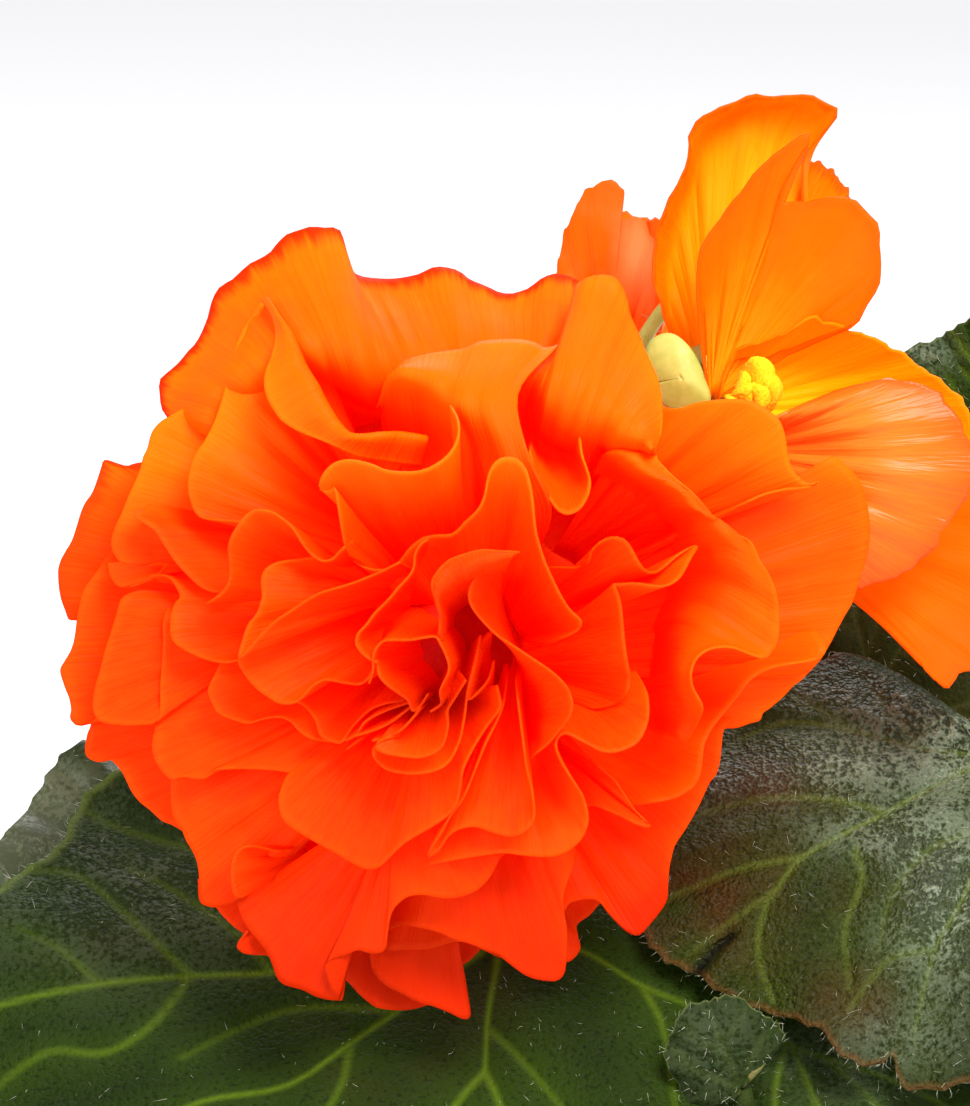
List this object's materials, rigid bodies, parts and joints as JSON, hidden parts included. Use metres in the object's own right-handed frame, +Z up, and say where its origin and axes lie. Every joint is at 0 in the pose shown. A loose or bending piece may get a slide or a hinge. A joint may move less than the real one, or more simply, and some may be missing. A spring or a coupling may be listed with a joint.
{
  "type": "potted tuberous begonia",
  "caption": "Potted tuberous begonia with a ruffled double orange bloom, a single female flower, dark veined leaves and a plain tapered clay pot.",
  "frame": {"origin": "centre of the pot's flat underside", "axes": "+Z up along the pot's axis; the double bloom faces -Y and looks a little upwards; +X is to the right seen from the front"},
  "size_m": [0.1523, 0.1756, 0.2471],
  "materials": {
    "clay": "matt fired clay",
    "soil": "crumbly peat compost",
    "tuber": "rough corky skin",
    "stalk": "smooth fleshy stem with fine hairs",
    "ovary": "smooth fleshy wings",
    "leaf": "satin, quilted between yellow-green veins",
    "petal": "soft satin, slightly translucent",
    "tepal": "soft satin, slightly translucent",
    "stigma": "velvety"
  },
  "bodies": {
    "root": {"back_tepal_curled": "tepal", "back_tepal_pale": "tepal", "back_tepal_rear": "tepal", "leaf_front_large": "leaf", "leaf_left_back": "leaf", "leaf_lower_right": "leaf", "leaf_rear": "leaf", "leaf_rear_left": "leaf", "leaf_right_back": "leaf", "leaf_right_glossy": "leaf", "leaf_shaded": "leaf", "leaf_small_round": "leaf", "main_stem": "stalk", "ovary_winged": "ovary", "pedicel_back": "stalk", "pedicel_female": "stalk", "peduncle_main": "stalk", "petal_bottom": "petal", "petal_bottom_left": "petal", "petal_bottom_lobe": "petal", "petal_bottom_right": "petal", "petal_far_left": "petal", "petal_flap": "petal", "petal_hook_right": "petal", "petal_left_fold": "petal", "petal_left_inner_upper": "petal", "petal_left_low": "petal", "petal_left_low_outer": "petal", "petal_left_lower_inner": "petal", "petal_left_mid": "petal", "petal_left_upper": "petal", "petal_lower_big": "petal", "petal_lower_right_inner": "petal", "petal_lower_right_outer": "petal", "petal_lower_tongue": "petal", "petal_oval_left": "petal", "petal_right_guard": "petal", "petal_right_long": "petal", "petal_round": "petal", "petal_s_curve": "petal", "petal_s_rim_lower": "petal", "petal_tongue_center": "petal", "petal_top_guard": "petal", "petal_top_tongue": "petal", "petal_upper_right": "petal", "petal_wave_left": "petal", "petaloid_heart": "petal", "pot": "clay", "receptacle_main": "stalk", "side_bud": "stalk", "soil": "soil", "style_lobes": "stigma", "tepal_back": "tepal", "tepal_front": "tepal", "tepal_lower": "tepal", "tepal_top": "tepal", "tepal_top_right": "tepal", "tepal_yellow": "tepal", "tuber": "tuber"}
  },
  "joints": []
}
